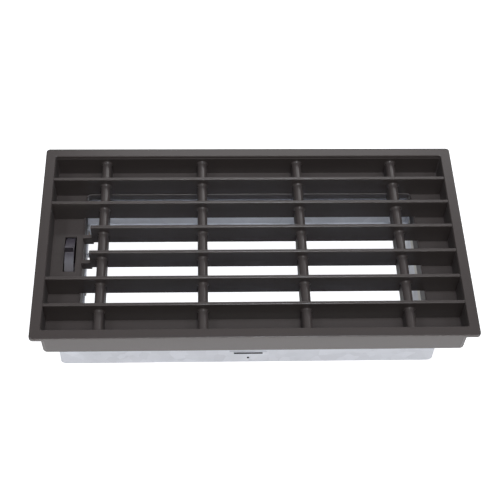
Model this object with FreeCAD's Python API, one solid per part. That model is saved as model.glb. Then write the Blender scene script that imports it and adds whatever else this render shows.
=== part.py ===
import FreeCAD, Part
import math
import os

# A recessed ceiling grille: a moulded face with six slats and four cross bars, and a galvanised
# damper box behind it whose four blades are turned together by a thumbwheel. The lattice of slats
# and bars is a solid of its own that meets the rest of the moulding face to face.
# All sizes are in millimetres. X runs along the face, Y across it, Z out of it towards the room.
# The lower edge of the damper box is at Z = 0. A "depth" is measured down from the face.

# Face and skirt of the moulding
face_length = 280.8
face_depth = 155.2
face_height = 70.3
face_corner_radius = 2.5
rim_width = 6.8
rim_thickness = 2.4
rim_edge_round = 0.7
rim_inner_bevel = 0.35
ledge_width = 0.5
end_ledge_width = 0.1
ledge_depth = 2.5
wall_thickness = 2.0
end_wall_thickness = 1.6
wall_draft = 0.5
wall_corner_radius = 1.2
skirt_depth = 24.3
floor_depth = 17.4
floor_thickness = 2.0

# Slats, along the face
slat_count = 6
slat_thickness = 2.4
slat_draft = 0.25
slat_top_depth = 0.8
slat_edge_round = 0.7

# Cross bars, over the depth of the face
bar_count = 4
bar_end_gap = 13.2
bar_width = 6.3
bar_draft = 0.2
bar_top_depth = 5.5

# Air opening in the floor of the moulding, with its raised lip and its collar below
opening_end_gap = 28.3
opening_corner_radius = 3.0
lip_width = 1.0
lip_height = 0.8
collar_thickness = 1.5
collar_drop = 1.6
collar_gap = 1.4
apron_drop = 9.5
apron_plate_gap = 0.3

# Finger well round the thumbwheel: the two middle slats stop short of it
well_slat_gap = 5.3
well_root_depth = 11.8

# Damper box of galvanised sheet
sheet = 0.6
sheet_bend_radius = 0.6
box_left_gap = 12.0
box_right_gap = 17.6
box_corner_radius = 3.6
end_plate_lift = 4.0
flange_width = 10.0
flange_end_gap = 1.0
weld_flange = 5.0
bend_relief = 1.0
bay_floor_gap = 0.4

# Pressed pad with a slot and a pilot hole, low on the two long plates
pad_length = 25.3
pad_height = 12.2
pad_bottom = 1.3
pad_proud = 0.35
pad_corner_radius = 1.5
pad_slot_length = 19.4
pad_slot_width = 1.2
pad_slot_height = 11.8
pilot_radius = 0.8
pilot_height = 6.1

# Stakes of the moulding that hold the box by its flanges, melted to a head below them
stake_radius = 1.5
stake_hole_clearance = 0.25
stake_head_radius = 3.0
stake_head_height = 1.1
stake_end_gap = 32.4

# Blades and their shafts
blade_count = 4
blade_overlap = 1.2
blade_wall_gap = 0.8
blade_sheet = 0.5
blade_joggle = 0.6
blade_joggle_width = 1.6
blade_side_gap = 0.6
blade_rest_tilt = 48.0
axis_depth = 36.6
shaft_radius = 1.5
shaft_fit = 0.02
shaft_end = 0.9
shaft_flat = 0.45

# Bearing strips for the blade shafts, and the bushing of the wheel axle
strip_thickness = 0.8
strip_height = 7.8
boss_wall = 0.9
boss_tail = 0.5
bushing_flange = 0.8
running_clearance = 0.06
seat_clearance = 0.05

# Bay of the wheel, between the left end plate and the bearing plate
wheel_bay = 11.3
wheel_setback = 7.2

# Cranks and link bar
crank_gap = 0.15
crank_thickness = 1.5
crank_hub_radius = 3.2
drive_hub_wall = 1.6
crank_arm = 8.0
crank_tip_radius = 2.5
pin_radius = 1.3
pin_head = 0.7
pin_head_radius = 1.9
link_gap = 0.2
link_thickness = 1.0
link_height = 5.4
link_window_clearance = 0.3
link_window_margin = 2.2

# Thumbwheel on its axle
wheel_width = 6.0
wheel_radius = 22.8
wheel_rim = 2.6
wheel_web = 2.0
wheel_hub_radius = 5.2
wheel_hub_gap = 0.35
lug_thickness = 2.2
lug_height = 5.0
lug_side_inset = 0.3
lug_top_round = 0.5
lug_root_round = 1.0
wheel_slot_side_gap = 0.9
wheel_slot_gap = 0.5
lug_end_gap = 0.3
wheel_slot_bevel = 0.4
axle_radius = 2.5
axle_flat = 0.6
axle_tail = 1.2
groove_depth = 0.6
groove_play = 0.05
clip_thickness = 0.6
clip_radius = 5.0
clip_gap = 0.3
clip_inner_gap = 0.9
clip_grip_width = 2.0
clip_mouth = 3.2
washer_thickness = 0.55
washer_radius = 4.8
washer_bore_clearance = 0.2

# Travel of the damper: the blades turn a quarter turn while the wheel turns by less
blade_travel = 90.0
wheel_travel = 62.0

# Values worked out from the driving dimensions
half_length = face_length / 2
half_depth = face_depth / 2
pocket_x = half_length - rim_width
pocket_y = half_depth - rim_width
inner_x = pocket_x - end_ledge_width
inner_y = pocket_y - ledge_width
skirt_x = inner_x + end_wall_thickness
skirt_y = inner_y + wall_thickness
slat_pitch = (2 * pocket_y + slat_thickness) / (slat_count + 1)
last_slat = (slat_count - 1) / 2 * slat_pitch
opening_half_length = half_length - opening_end_gap
opening_half_depth = last_slat - slat_thickness / 2 - lip_width
well_slat_end = opening_half_length - well_slat_gap
bar_spacing = 2 * (opening_half_length - bar_end_gap) / (bar_count - 1)
floor_top = face_height - floor_depth
floor_under = floor_top - floor_thickness
axis_z = face_height - axis_depth
box_half_depth = opening_half_depth + collar_thickness + collar_gap + sheet
box_left = box_left_gap - half_length
box_right = half_length - box_right_gap
box_centre = (box_left + box_right) / 2
left_inner = box_left + sheet
right_inner = opening_half_length + collar_thickness + apron_plate_gap
right_outer = right_inner + sheet
plate_inner_y = box_half_depth - sheet
stake_columns = (box_left + stake_end_gap, box_right - stake_end_gap)
stake_y = box_half_depth + flange_width / 2
boss_half = shaft_radius + running_clearance + boss_wall
axle_boss_half = axle_radius + running_clearance + boss_wall
plate_left = box_left + wheel_bay
plate_right = plate_left + sheet
bay_floor_end = plate_left - bay_floor_gap
wheel_centre = box_left + wheel_setback
travel_ratio = blade_travel / wheel_travel
blade_lead = blade_rest_tilt - blade_travel / 2
lattice_under = floor_top + lip_height
wheel_lead = blade_lead / travel_ratio
wheel_arm = crank_arm * math.sin(math.radians(blade_travel / 2)) / math.sin(math.radians(wheel_travel / 2))
crank_left = plate_right + strip_thickness + crank_gap
crank_right = crank_left + crank_thickness
link_left = crank_right + link_gap
link_right = link_left + link_thickness
head_left = link_right + link_gap
head_right = head_left + pin_head
blade_left = head_right + blade_side_gap
blade_right = opening_half_length - blade_side_gap
blade_reach = plate_inner_y - sheet - blade_wall_gap
blade_pitch = (2 * blade_reach - blade_overlap) / blade_count
blade_width = blade_pitch + blade_overlap
slot_half_width = wheel_width / 2 + wheel_slot_side_gap
closing_angle = blade_rest_tilt / travel_ratio
opening_angle = wheel_travel - closing_angle
washer_right = left_inner + bushing_flange + washer_thickness
hub_right = plate_left - boss_tail - wheel_hub_gap
clip_left = box_left - boss_tail - clip_gap - clip_thickness


def box(x0, x1, y0, y1, z0, z1):
    """A block between two corners."""
    return Part.makeBox(x1 - x0, y1 - y0, z1 - z0, FreeCAD.Vector(x0, y0, z0))


def rod(radius, x0, x1, y, z):
    """A round bar along X."""
    return Part.makeCylinder(radius, x1 - x0, FreeCAD.Vector(x0, y, z), FreeCAD.Vector(1, 0, 0))


def upright(radius, x, y, z0, z1):
    """A round bar along Z."""
    return Part.makeCylinder(radius, z1 - z0, FreeCAD.Vector(x, y, z0), FreeCAD.Vector(0, 0, 1))


def fuse(solids):
    """One solid from several that touch or overlap."""
    if len(solids) == 1:
        return solids[0]
    return solids[0].multiFuse(solids[1:]).removeSplitter()


def rounded_wire(x0, x1, y0, y1, radius, z):
    """A rectangle with round corners, in a level plane."""
    swing = radius * math.sqrt(0.5)
    edges = []
    centres = ((x1 - radius, y1 - radius, 1, 1), (x0 + radius, y1 - radius, -1, 1),
               (x0 + radius, y0 + radius, -1, -1), (x1 - radius, y0 + radius, 1, -1))
    arcs = []
    for cx, cy, sx, sy in centres:
        along_x = FreeCAD.Vector(cx + sx * radius, cy, z)
        along_y = FreeCAD.Vector(cx, cy + sy * radius, z)
        middle = FreeCAD.Vector(cx + sx * swing, cy + sy * swing, z)
        start, end = (along_x, along_y) if sx * sy > 0 else (along_y, along_x)
        arcs.append((start, middle, end))
    for index, (start, middle, end) in enumerate(arcs):
        edges.append(Part.Arc(start, middle, end).toShape())
        edges.append(Part.LineSegment(end, arcs[(index + 1) % 4][0]).toShape())
    return Part.Wire(edges)


def rounded_block(half_x, half_y, radius, z0, z1, centre_x=0.0):
    """An upright block with round corners."""
    wire = rounded_wire(centre_x - half_x, centre_x + half_x, -half_y, half_y, radius, z0)
    return Part.Face(wire).extrude(FreeCAD.Vector(0, 0, z1 - z0))


def tapered_block(half_x, half_y, radius, draft, z_low, z_high):
    """An upright block with round corners that is smaller at its low end by the draft all round."""
    low_x = half_x - draft
    low_y = half_y - draft
    low = rounded_wire(-low_x, low_x, -low_y, low_y, radius, z_low)
    high = rounded_wire(-half_x, half_x, -half_y, half_y, radius, z_high)
    return Part.makeLoft([low, high], True, True)


def outline_x(points, x0, x1):
    """A bar along X. Each point is (y, z), or (y, z, y, z) for the middle and end of an arc."""
    edges = []
    here = FreeCAD.Vector(x0, points[0][0], points[0][1])
    first = here
    for point in list(points[1:]) + [None]:
        if point is None:
            if (here - first).Length > 1e-6:
                edges.append(Part.LineSegment(here, first).toShape())
            continue
        end = FreeCAD.Vector(x0, point[-2], point[-1])
        if len(point) == 4:
            middle = FreeCAD.Vector(x0, point[0], point[1])
            edges.append(Part.Arc(here, middle, end).toShape())
        else:
            edges.append(Part.LineSegment(here, end).toShape())
        here = end
    return Part.Face(Part.Wire(edges)).extrude(FreeCAD.Vector(x1 - x0, 0, 0))


def turned(shape, y, z, degrees):
    """The shape turned about an axis along X."""
    copy = shape.copy()
    copy.rotate(FreeCAD.Vector(0, y, z), FreeCAD.Vector(1, 0, 0), degrees)
    return copy


def mirrored_y(shape):
    """The shape mirrored from front to back."""
    return shape.mirror(FreeCAD.Vector(0, 0, 0), FreeCAD.Vector(0, 1, 0))


def slat_y(index):
    """Middle of a slat, counted from the back."""
    return last_slat - index * slat_pitch


def bar_x(index):
    """Middle of a cross bar, counted from the left."""
    return (index - (bar_count - 1) / 2) * bar_spacing


def blade_y(index):
    """Axis of a blade, counted from the front."""
    return (index - (blade_count - 1) / 2) * blade_pitch


def slat(y, x0, x1):
    """One slat with round top edges, thicker at its foot."""
    top = face_height - slat_top_depth
    half_top = slat_thickness / 2
    half_foot = half_top + slat_draft
    r = slat_edge_round
    bend = r * (1 - math.sqrt(0.5))
    points = [(y - half_foot, floor_top - floor_thickness / 2),
              (y - half_top, top - r),
              (y - half_top + bend, top - bend, y - half_top + r, top),
              (y + half_top - r, top),
              (y + half_top - bend, top - bend, y + half_top, top - r),
              (y + half_foot, floor_top - floor_thickness / 2)]
    return outline_x(points, x0, x1)


def cross_bar(x):
    """One cross bar with a round top and drafted sides, from the front wall to the back wall."""
    start = -inner_y - wall_thickness / 2
    half = bar_width / 2
    crest = face_height - bar_top_depth
    foot = floor_top - floor_thickness / 2
    left_foot = FreeCAD.Vector(x - half - bar_draft, start, foot)
    left_top = FreeCAD.Vector(x - half, start, crest - half)
    right_top = FreeCAD.Vector(x + half, start, crest - half)
    right_foot = FreeCAD.Vector(x + half + bar_draft, start, foot)
    outline = Part.Wire([Part.LineSegment(left_foot, left_top).toShape(),
                         Part.Arc(left_top, FreeCAD.Vector(x, start, crest), right_top).toShape(),
                         Part.LineSegment(right_top, right_foot).toShape(),
                         Part.LineSegment(right_foot, left_foot).toShape()])
    return Part.Face(outline).extrude(FreeCAD.Vector(0, -2 * start, 0))


def tray():
    """Rim, walls, skirt and floor of the moulding, before its openings."""
    rim = rounded_block(half_length, half_depth, face_corner_radius, face_height - rim_thickness, face_height)
    outer_top = [edge for edge in rim.Edges
                 if edge.BoundBox.ZMin > face_height - 0.01]
    rim = rim.makeFillet(rim_edge_round, outer_top)
    skirt = tapered_block(skirt_x, skirt_y, wall_corner_radius + wall_thickness, wall_draft,
                          face_height - skirt_depth, face_height - rim_thickness / 2)
    body = rim.fuse(skirt)
    bevel = rim_inner_bevel
    mouth = tapered_block(pocket_x + bevel, pocket_y + bevel, wall_corner_radius, bevel,
                          face_height - bevel, face_height)
    shelf = rounded_block(pocket_x, pocket_y, wall_corner_radius, face_height - ledge_depth,
                          face_height - bevel / 2)
    pan = tapered_block(inner_x, inner_y, wall_corner_radius, wall_draft / 2, floor_top,
                        face_height - ledge_depth / 2)
    below = tapered_block(skirt_x - end_wall_thickness, skirt_y - wall_thickness, wall_corner_radius,
                          wall_draft, face_height - skirt_depth - 1, floor_under)
    return body.cut(mouth.fuse([shelf, pan])).cut(below)


def wheel_slot():
    """Cutter for the slot that the thumbwheel stands through, shaped to the swing of rim and lug."""
    above = axis_depth - floor_depth
    swing = math.radians(max(closing_angle, opening_angle))
    reach = above * math.tan(swing) + lug_thickness / 2 / math.cos(swing) + lug_end_gap
    x0 = wheel_centre - slot_half_width
    x1 = wheel_centre + slot_half_width
    bevel = wheel_slot_bevel
    slot = outline_x([(-reach, floor_under - 1), (-reach, floor_top - bevel),
                      (-reach - 2 * bevel, floor_top + bevel), (reach + 2 * bevel, floor_top + bevel),
                      (reach, floor_top - bevel), (reach, floor_under - 1)], x0, x1)
    swing_room = rod(wheel_radius + wheel_slot_gap, x0, x1, 0, axis_z)
    upper_part = box(x0, x1, -half_depth, half_depth, floor_under - collar_drop, floor_top + 1)
    return slot.fuse(swing_room.common(upper_part))


def make_grille():
    """The moulding without its lattice: face rim, skirt, floor, lip, collar, aprons and stakes."""
    body = tray()
    opening = rounded_block(opening_half_length, opening_half_depth, opening_corner_radius,
                            floor_under - collar_drop - 1, floor_top + lip_height + 1)
    lip = rounded_block(opening_half_length + lip_width, opening_half_depth + lip_width,
                        opening_corner_radius + lip_width, floor_top - floor_thickness / 2, lattice_under)
    collar = rounded_block(opening_half_length + collar_thickness, opening_half_depth + collar_thickness,
                           opening_corner_radius + collar_thickness, floor_under - collar_drop,
                           floor_top - floor_thickness / 2)
    straight = opening_half_depth - opening_corner_radius
    aprons = []
    for side in (-1, 1):
        inner = side * opening_half_length
        outer = side * (opening_half_length + collar_thickness)
        aprons.append(box(min(inner, outer), max(inner, outer), -straight, straight,
                          floor_under - apron_drop, floor_top - floor_thickness / 2))
    stakes = [stake(x, side * stake_y) for x in stake_columns for side in (-1, 1)]
    return body.fuse([lip, collar] + aprons + stakes).cut(opening).cut(wheel_slot()).removeSplitter()


def make_lattice(grille):
    """Slats and cross bars, from wall to wall and from the floor and the lip up."""
    end = inner_x + end_wall_thickness / 2
    ribs = []
    roots = []
    for index in range(slat_count):
        beside_well = abs(slat_y(index)) < slat_pitch
        ribs.append(slat(slat_y(index), -well_slat_end if beside_well else -end, end))
        if beside_well:
            root = slat(slat_y(index), -opening_half_length - lip_width / 2, -well_slat_end + 1)
            high = box(-half_length, 0, -half_depth, half_depth, face_height - well_root_depth, face_height)
            roots.append(root.cut(high))
    for index in range(bar_count):
        ribs.append(cross_bar(bar_x(index)))
    below_floor = rounded_block(opening_half_length + lip_width / 4, opening_half_depth + lip_width / 4,
                                opening_corner_radius, floor_under - 1, lattice_under)
    return ribs[0].multiFuse(ribs[1:]).cut(below_floor).fuse(roots).cut(grille).removeSplitter()


def stake(x, y):
    """A stake below the floor with its melted head under the flange of the box."""
    seat = floor_under - sheet
    shank = upright(stake_radius, x, y, seat - stake_head_height, floor_top - floor_thickness / 2)
    head = Part.makeCone(stake_radius, stake_head_radius, stake_head_height,
                         FreeCAD.Vector(x, y, seat - stake_head_height), FreeCAD.Vector(0, 0, 1))
    return shank.fuse(head)


def pressed_pad(y_outer):
    """Solids that raise the pad on the outside of a long plate and hollow it on the inside."""
    x0 = box_centre - pad_length / 2
    wire = rounded_wire(x0, x0 + pad_length, pad_bottom, pad_bottom + pad_height, pad_corner_radius, 0)
    block = Part.Face(wire).extrude(FreeCAD.Vector(0, 0, pad_proud))
    block.rotate(FreeCAD.Vector(0, 0, 0), FreeCAD.Vector(1, 0, 0), 90)
    raised = block.copy()
    raised.translate(FreeCAD.Vector(0, y_outer, 0))
    inset = sheet / 2
    inner = rounded_wire(x0 + inset, x0 + pad_length - inset, pad_bottom + inset,
                         pad_bottom + pad_height - inset, pad_corner_radius - inset, 0)
    hollow = Part.Face(inner).extrude(FreeCAD.Vector(0, 0, pad_proud))
    hollow.rotate(FreeCAD.Vector(0, 0, 0), FreeCAD.Vector(1, 0, 0), 90)
    hollow.translate(FreeCAD.Vector(0, y_outer + sheet, 0))
    return raised, hollow


def make_front_plate():
    """Long front plate of the damper box, with its top flange, pressed pad, slot and pilot hole."""
    outer = -box_half_depth
    inner = outer + sheet
    bend = sheet_bend_radius
    corner = bend + sheet
    top = floor_under
    arc_in = bend * (1 - math.sqrt(0.5))
    arc_out = corner * (1 - math.sqrt(0.5))
    points = [(inner, 0), (inner, top - corner),
              (inner - arc_out, top - arc_out, inner - corner, top),
              (outer - flange_width, top), (outer - flange_width, top - sheet),
              (outer - bend, top - sheet),
              (outer - arc_in, top - sheet - arc_in, outer, top - corner),
              (outer, 0)]
    plate = outline_x(points, box_left, box_right)
    raised, hollow = pressed_pad(outer)
    plate = plate.fuse(raised).cut(hollow)
    cutters = []
    for x in (box_left, box_right):
        inward = 1 if x == box_left else -1
        centre_x = x + inward * box_corner_radius
        block = box(min(x, centre_x), max(x, centre_x), outer - 1, inner + 1, 0, box_corner_radius)
        round_off = Part.makeCylinder(box_corner_radius, sheet + 2,
                                      FreeCAD.Vector(centre_x, outer - 1, box_corner_radius),
                                      FreeCAD.Vector(0, 1, 0))
        cutters.append(block.cut(round_off))
        flange_stop = x + inward * flange_end_gap
        cutters.append(box(min(x, flange_stop), max(x, flange_stop), outer - flange_width, outer,
                           top - corner, top))
    half_slot = pad_slot_length / 2
    cutters.append(box(box_centre - half_slot, box_centre + half_slot, outer - 1, inner + 1,
                       pad_slot_height - pad_slot_width / 2, pad_slot_height + pad_slot_width / 2))
    cutters.append(Part.makeCylinder(pilot_radius, sheet + 2,
                                     FreeCAD.Vector(box_centre, outer - 1, pilot_height),
                                     FreeCAD.Vector(0, 1, 0)))
    for x in stake_columns:
        cutters.append(upright(stake_radius + stake_hole_clearance, x, -stake_y, top - sheet - 1, top + 1))
    return plate.cut(cutters)


def make_back_plate():
    """Long back plate, the mirror of the front one."""
    return mirrored_y(make_front_plate())


def channel(x_web, side):
    """A cross plate with two flanges folded to one side, which lie on the long plates."""
    bend = sheet_bend_radius
    corner = bend + sheet
    y = plate_inner_y
    arc_in = bend * (1 - math.sqrt(0.5))
    arc_out = corner * (1 - math.sqrt(0.5))
    outer = x_web if side > 0 else x_web + sheet
    inner = outer + side * sheet
    tip = outer + side * weld_flange
    z0 = end_plate_lift
    path = [("line", outer, -y + corner), ("line", outer, y - corner),
            ("arc", outer + side * arc_out, y - arc_out, outer + side * corner, y),
            ("line", tip, y), ("line", tip, y - sheet), ("line", outer + side * corner, y - sheet),
            ("arc", inner + side * arc_in, y - sheet - arc_in, inner, y - corner),
            ("line", inner, -y + corner),
            ("arc", inner + side * arc_in, -y + sheet + arc_in, outer + side * corner, -y + sheet),
            ("line", tip, -y + sheet), ("line", tip, -y), ("line", outer + side * corner, -y),
            ("arc", outer + side * arc_out, -y + arc_out, outer, -y + corner)]
    edges = []
    here = FreeCAD.Vector(path[0][1], path[0][2], z0)
    for step in path[1:]:
        end = FreeCAD.Vector(step[-2], step[-1], z0)
        if step[0] == "arc":
            edges.append(Part.Arc(here, FreeCAD.Vector(step[1], step[2], z0), end).toShape())
        else:
            edges.append(Part.LineSegment(here, end).toShape())
        here = end
    return Part.Face(Part.Wire(edges)).extrude(FreeCAD.Vector(0, 0, floor_under - z0))


def boss(half, x0, x1, y):
    """A square boss along X, which can't turn in its hole."""
    return box(x0, x1, y - half, y + half, axis_z - half, axis_z + half)


def make_left_end_plate():
    """End plate beside the wheel, with the hole for the axle bushing and a fold that closes the bay below."""
    corner = sheet_bend_radius + sheet
    low = end_plate_lift
    arc_in = sheet_bend_radius * (1 - math.sqrt(0.5))
    arc_out = corner * (1 - math.sqrt(0.5))
    points = [(box_left, low + corner),
              (box_left + arc_out, low + arc_out, box_left + corner, low),
              (bay_floor_end, low), (bay_floor_end, low + sheet), (box_left + corner, low + sheet),
              (left_inner + arc_in, low + sheet + arc_in, left_inner, low + corner)]
    half = plate_inner_y - corner - bend_relief
    fold = outline_x(points, -half, half)
    fold.rotate(FreeCAD.Vector(0, 0, 0), FreeCAD.Vector(0, 0, 1), -90)
    hole = boss(axle_boss_half + seat_clearance, box_left - 1, left_inner + 1, 0)
    notch = box(box_left - 1, left_inner + 1, -half - bend_relief, half + bend_relief, low - 1, low + corner)
    return fuse([channel(box_left, 1).cut([hole, notch]), fold])


def boss_holes(x0, x1):
    """Cutters for the holes that the bosses of a bearing strip pass through."""
    return [boss(boss_half + seat_clearance, x0 - 1, x1 + 1, blade_y(index)) for index in range(blade_count)]


def make_right_end_plate():
    """End plate that carries the right bearing strip, set back so that the shaft ends lie inside the box."""
    return channel(right_inner, 1).cut(boss_holes(right_inner, right_outer))


def make_bearing_plate():
    """Plate between the wheel and the air path, which carries the left bearing strip."""
    axle_hole = boss(axle_boss_half + seat_clearance, plate_left - 1, plate_right + 1, 0)
    return channel(plate_left, -1).cut(boss_holes(plate_left, plate_right) + [axle_hole])


def bearing_strip(strip_left, boss_left, boss_right, axle):
    """A nylon strip that lies along a plate, with a bored boss through the plate for each shaft."""
    reach = blade_y(blade_count - 1)
    half = strip_height / 2
    points = [(-reach, axis_z - half), (reach, axis_z - half),
              (reach + half, axis_z, reach, axis_z + half), (-reach, axis_z + half),
              (-reach - half, axis_z, -reach, axis_z - half)]
    strip = outline_x(points, strip_left, strip_left + strip_thickness)
    places = [(blade_y(index), shaft_radius) for index in range(blade_count)]
    if axle:
        places.append((0, axle_radius))
    bosses = [boss(radius + running_clearance + boss_wall, boss_left, boss_right, y) for y, radius in places]
    bores = [rod(radius + running_clearance, boss_left - 2, boss_right + 2, y, axis_z)
             for y, radius in places]
    return fuse([strip] + bosses).cut(bores)


def make_left_strip():
    """Strip on the air side of the bearing plate, which also carries the wheel axle."""
    return bearing_strip(plate_right, plate_left - boss_tail, plate_right, True)


def make_right_strip():
    """Strip on the air side of the right end plate."""
    return bearing_strip(right_inner - strip_thickness, right_inner, right_outer + boss_tail, False)


def make_axle_bushing():
    """Flanged bushing of the wheel axle in the left end plate."""
    flange = boss(axle_boss_half + boss_wall, left_inner, left_inner + bushing_flange, 0)
    body = boss(axle_boss_half, box_left - boss_tail, left_inner, 0)
    bore = rod(axle_radius + running_clearance, box_left - boss_tail - 1, left_inner + bushing_flange + 1,
               0, axis_z)
    return body.fuse(flange).cut(bore)


def flat_cut(radius, flat, x0, x1, y):
    """Block that takes the flat off a shaft, on its upper side."""
    return box(x0, x1, y - radius, y + radius, axis_z + radius - flat, axis_z + radius + 1)


def flat_bore(radius, flat, x0, x1, y):
    """Cutter for a bore that fits a shaft with a flat."""
    fit = shaft_fit
    return rod(radius + fit, x0, x1, y, axis_z).cut(flat_cut(radius + fit, flat, x0, x1, y))


def make_shaft(index):
    """Steel shaft of a blade, with a flat at its left end for the crank."""
    y = blade_y(index)
    left = plate_left - boss_tail
    core = rod(shaft_radius, left, right_outer + boss_tail + shaft_end, y, axis_z)
    core = core.cut(flat_cut(shaft_radius, shaft_flat, left - 1, crank_right, y))
    return turned(core, y, axis_z, -blade_lead)


def crank(y, arm, bore_radius, flat, hub_radius):
    """A moulded crank that hangs down, with its hub, tapered arm and headed pin."""
    tip_z = axis_z - arm
    slope = (hub_radius - crank_tip_radius) / arm
    level = math.sqrt(1 - slope * slope)
    points = [(y - hub_radius * level, axis_z - hub_radius * slope),
              (y, axis_z + hub_radius, y + hub_radius * level, axis_z - hub_radius * slope),
              (y + crank_tip_radius * level, tip_z - crank_tip_radius * slope),
              (y, tip_z - crank_tip_radius, y - crank_tip_radius * level, tip_z - crank_tip_radius * slope)]
    arm_body = outline_x(points, crank_left, crank_right)
    pin = rod(pin_radius, crank_right, head_left, y, tip_z)
    head = rod(pin_head_radius, head_left, head_right, y, tip_z)
    solid = arm_body.multiFuse([pin, head]).removeSplitter()
    return solid.cut(flat_bore(bore_radius, flat, crank_left - 1, crank_right + pin_head, y))


def make_crank(index):
    """Crank of a blade, turned to the damper's rest position."""
    y = blade_y(index)
    return turned(crank(y, crank_arm, shaft_radius, shaft_flat, crank_hub_radius), y, axis_z, -blade_lead)


def make_drive_crank():
    """Crank on the wheel axle, whose pin works in the window of the link bar."""
    solid = crank(0, wheel_arm, axle_radius, axle_flat, axle_radius + drive_hub_wall)
    return turned(solid, 0, axis_z, -wheel_lead)


def make_link_bar():
    """Flat bar that joins the four cranks, with a drop tab and a window for the drive pin."""
    lead = math.radians(blade_lead)
    shift_y = -crank_arm * math.sin(lead)
    pin_z = axis_z - crank_arm * math.cos(lead)
    half = link_height / 2
    reach = blade_y(blade_count - 1)
    bar = box(link_left, link_right, shift_y - reach, shift_y + reach, pin_z - half, pin_z + half)
    ends = [rod(half, link_left, link_right, shift_y + side * reach, pin_z) for side in (-1, 1)]
    swing = math.radians(wheel_travel / 2)
    turn = math.radians(blade_travel / 2)
    drop_mid = wheel_arm - crank_arm
    drop_end = wheel_arm * math.cos(swing) - crank_arm * math.cos(turn)
    room = pin_radius + link_window_clearance
    low = pin_z - max(drop_mid, drop_end) - room
    high = pin_z - min(drop_mid, drop_end) + room
    tab_half = room + link_window_margin
    tab = box(link_left, link_right, shift_y - tab_half, shift_y + tab_half, low - link_window_margin, pin_z)
    window = box(link_left - 1, link_right + 1, shift_y - room, shift_y + room, low, high)
    holes = [rod(pin_radius + running_clearance, link_left - 1, link_right + 1, shift_y + blade_y(i), pin_z)
             for i in range(blade_count)]
    return fuse([bar, tab] + ends).cut([window] + holes)


def make_blade(index):
    """Blade of thin sheet with joggled edges and a pressed channel in which its shaft lies."""
    y = blade_y(index)
    t = blade_sheet / 2
    half = blade_width / 2
    run = blade_joggle_width
    up, down = axis_z + blade_joggle, axis_z - blade_joggle
    front, back = y - half, y + half
    inner = shaft_radius + shaft_fit
    outer = inner + blade_sheet
    inner_half = math.sqrt(inner * inner - t * t)
    outer_half = math.sqrt(outer * outer - t * t)
    points = [(front, up - t), (front + run, up - t), (front + 2 * run, axis_z - t),
              (y - inner_half, axis_z - t), (y, axis_z + inner, y + inner_half, axis_z - t),
              (back - 2 * run, axis_z - t), (back - run, down - t), (back, down - t),
              (back, down + t), (back - run, down + t), (back - 2 * run, axis_z + t),
              (y + outer_half, axis_z + t), (y, axis_z + outer, y - outer_half, axis_z + t),
              (front + 2 * run, axis_z + t), (front + run, up + t), (front, up + t)]
    return turned(outline_x(points, blade_left, blade_right), y, axis_z, -blade_rest_tilt)


def make_thumbwheel():
    """Moulded thumbwheel with a lug, a web and a hub."""
    x0 = wheel_centre - wheel_width / 2
    x1 = wheel_centre + wheel_width / 2
    disc = rod(wheel_radius, x0, x1, 0, axis_z)
    rim_inner = wheel_radius - wheel_rim
    web_half = wheel_web / 2
    for a, b in ((x0 - 1, wheel_centre - web_half), (wheel_centre + web_half, x1 + 1)):
        disc = disc.cut(rod(rim_inner, a, b, 0, axis_z))
    lug_top = axis_z + wheel_radius + lug_height
    half = lug_thickness / 2
    inset = lug_side_inset
    lug = box(x0 + inset, x1 - inset, -half, half, axis_z + wheel_radius - wheel_rim / 2, lug_top)
    lug = lug.makeFillet(lug_top_round, [edge for edge in lug.Edges if edge.BoundBox.ZMin > lug_top - 0.01])
    lug = lug.fuse(lug_root(x0 + inset, x1 - inset))
    hub = rod(wheel_hub_radius, washer_right, hub_right, 0, axis_z)
    body = fuse([disc.fuse(hub), lug])
    bore = flat_bore(axle_radius, axle_flat, box_left, plate_right, 0)
    return body.cut(turned(bore, 0, axis_z, -wheel_lead))


def lug_root(x0, x1):
    """Round foot in front of the lug, where it rises out of the rim."""
    face = -lug_thickness / 2
    r = lug_root_round
    rim_z = axis_z + math.sqrt(wheel_radius ** 2 - (face - r) ** 2)
    swing = r * math.sqrt(0.5)
    return outline_x([(0, rim_z - wheel_rim / 2), (face - r, rim_z - wheel_rim / 2), (face - r, rim_z),
                      (face - r + swing, rim_z + r - swing, face, rim_z + r), (0, rim_z + r)], x0, x1)


def make_wheel_axle():
    """Axle of the wheel, with a flat for wheel and crank and a groove for the clip."""
    core = rod(axle_radius, clip_left - axle_tail, crank_right, 0, axis_z)
    core = core.cut(flat_cut(axle_radius, axle_flat, washer_right, hub_right, 0))
    core = core.cut(flat_cut(axle_radius, axle_flat, crank_left, crank_right + 1, 0))
    groove_left = clip_left - groove_play
    groove_right = clip_left + clip_thickness + groove_play
    ring = rod(axle_radius + 1, groove_left, groove_right, 0, axis_z)
    ring = ring.cut(rod(axle_radius - groove_depth, groove_left - 1, groove_right + 1, 0, axis_z))
    return turned(core.cut(ring), 0, axis_z, -wheel_lead)


def make_axle_clip():
    """Open retaining clip in the axle's groove."""
    x0 = clip_left
    x1 = x0 + clip_thickness
    ring = rod(clip_radius, x0, x1, 0, axis_z)
    ring = ring.cut(rod(axle_radius + clip_inner_gap, x0 - 1, x1 + 1, 0, axis_z))
    grip_half = clip_grip_width / 2
    grips = []
    for degrees in (0, 120, 240):
        grip = box(x0, x1, -grip_half, grip_half, axis_z + axle_radius - groove_depth + shaft_fit,
                   axis_z + clip_radius - clip_thickness)
        grips.append(turned(grip, 0, axis_z, degrees))
    mouth_half = clip_mouth / 2
    mouth = box(x0 - 1, x1 + 1, -mouth_half, mouth_half, axis_z - clip_radius - 1, axis_z - axle_radius)
    return fuse([ring] + grips).cut(mouth)


def make_friction_washer():
    """Felt washer between the bushing's flange and the wheel hub, which holds the wheel where it is set."""
    seat = left_inner + bushing_flange
    bore = rod(axle_radius + washer_bore_clearance, seat - 1, washer_right + 1, 0, axis_z)
    return rod(washer_radius, seat, washer_right, 0, axis_z).cut(bore)


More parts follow.
